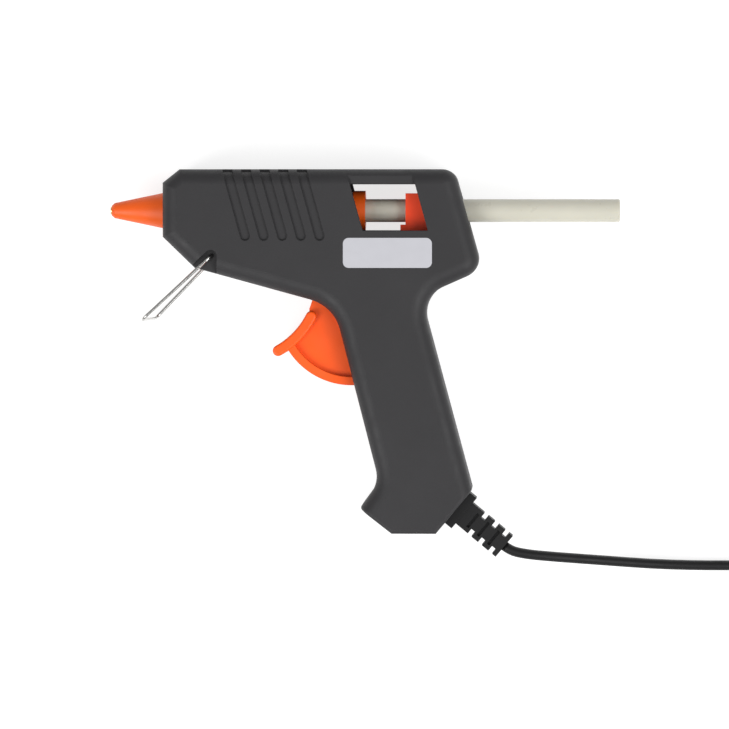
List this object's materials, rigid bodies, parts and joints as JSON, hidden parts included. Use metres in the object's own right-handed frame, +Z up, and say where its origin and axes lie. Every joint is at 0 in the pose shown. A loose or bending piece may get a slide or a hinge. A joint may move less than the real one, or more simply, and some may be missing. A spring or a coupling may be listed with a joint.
{
  "type": "hot melt glue gun",
  "caption": "Mini hot melt glue gun with pistol grip, sliding feed carriage driven by its trigger, folding wire stand, glue stick and coiled mains cord.",
  "frame": {"origin": "bottom centre of the gun's box without its cord, the gun lying on its right side", "axes": "+X from the nozzle to the glue stick along the barrel, +Y from the butt up to the barrel, +Z up from the table through the gun's thickness"},
  "size_m": [0.2806, 0.1266, 0.0271],
  "materials": {
    "shell": "fine moulded texture, charcoal",
    "steel": "plated",
    "plate": "satin, blank",
    "brass": "turned",
    "silicone": "matt orange",
    "cast_alloy": "as cast",
    "ceramic": "ceramic stone",
    "alloy_sheet": "sheet",
    "film": "amber film",
    "carriage_plastic": "moulded, orange red",
    "trigger_plastic": "moulded, orange",
    "glue": "translucent ivory",
    "nickel_wire": "bright nickel",
    "cord_rubber": "black, satin",
    "clamp_plastic": "black",
    "blue_lead": "insulation",
    "brown_lead": "insulation",
    "glass_sleeve": "braided glass fibre",
    "tie": "black band"
  },
  "bodies": {
    "housing": {"left_shell": "shell", "right_shell": "shell", "shell_screws": "steel", "rating_plate": "plate", "nozzle": "brass", "nozzle_sleeve": "silicone", "melt_chamber": "cast_alloy", "ptc_heater": "ceramic", "lower_electrode": "alloy_sheet", "upper_electrode": "alloy_sheet", "heater_film": "film", "inlet_sleeve": "silicone", "trigger_pin": "steel", "trigger_spring": "steel", "strain_relief": "cord_rubber", "cord_inside": "cord_rubber", "cord_clamp": "clamp_plastic", "clamp_screws": "steel", "lead_neutral": "blue_lead", "lead_live": "brown_lead", "crimp_terminals": "brass", "heat_sleeves": "glass_sleeve", "power_cord": "cord_rubber", "cord_coil": "cord_rubber", "cord_tail": "cord_rubber", "cord_tie": "tie", "plug_body": "cord_rubber", "plug_blades": "brass"},
    "trigger": {"trigger": "trigger_plastic"},
    "carriage": {"feed_carriage": "carriage_plastic", "grip_pin": "steel"},
    "pawl": {"grip_pawl": "steel"},
    "stick": {"glue_stick": "glue"},
    "stand": {"wire_stand": "nickel_wire"}
  },
  "joints": [
    {"name": "trigger_pull", "type": "hinge", "parent": "housing", "child": "trigger", "pos_m": [-0.004, 0.0127, 0.0135], "axis": [0, 0, 1], "range_deg": [0, 28.3], "deforming": ["trigger_spring"]},
    {"name": "carriage_feed", "type": "slide", "parent": "housing", "child": "carriage", "axis": [-1, 0, 0], "range_m": [0, 0.0082], "stiffness_N_per_m": 533, "springref_m": -0.00587},
    {"name": "pawl_bite", "type": "hinge", "parent": "carriage", "child": "pawl", "pos_m": [0.0188, 0.0375, 0.0135], "axis": [0, 0, -1], "range_deg": [0, 3.2]},
    {"name": "stick_load", "type": "slide", "parent": "carriage", "child": "stick", "axis": [1, 0, 0], "range_m": [0, 0.09]},
    {"name": "stand_swing", "type": "hinge", "parent": "housing", "child": "stand", "pos_m": [-0.0476, 0.0298, 0.0135], "axis": [0, 0, 1], "range_deg": [0, 45]}
  ],
  "couplings": [
    {"joint": "trigger_pull", "follows": "carriage_feed", "rad_per_m": 59.615},
    {"joint": "pawl_bite", "follows": "carriage_feed", "rad_per_m": 6.379}
  ]
}
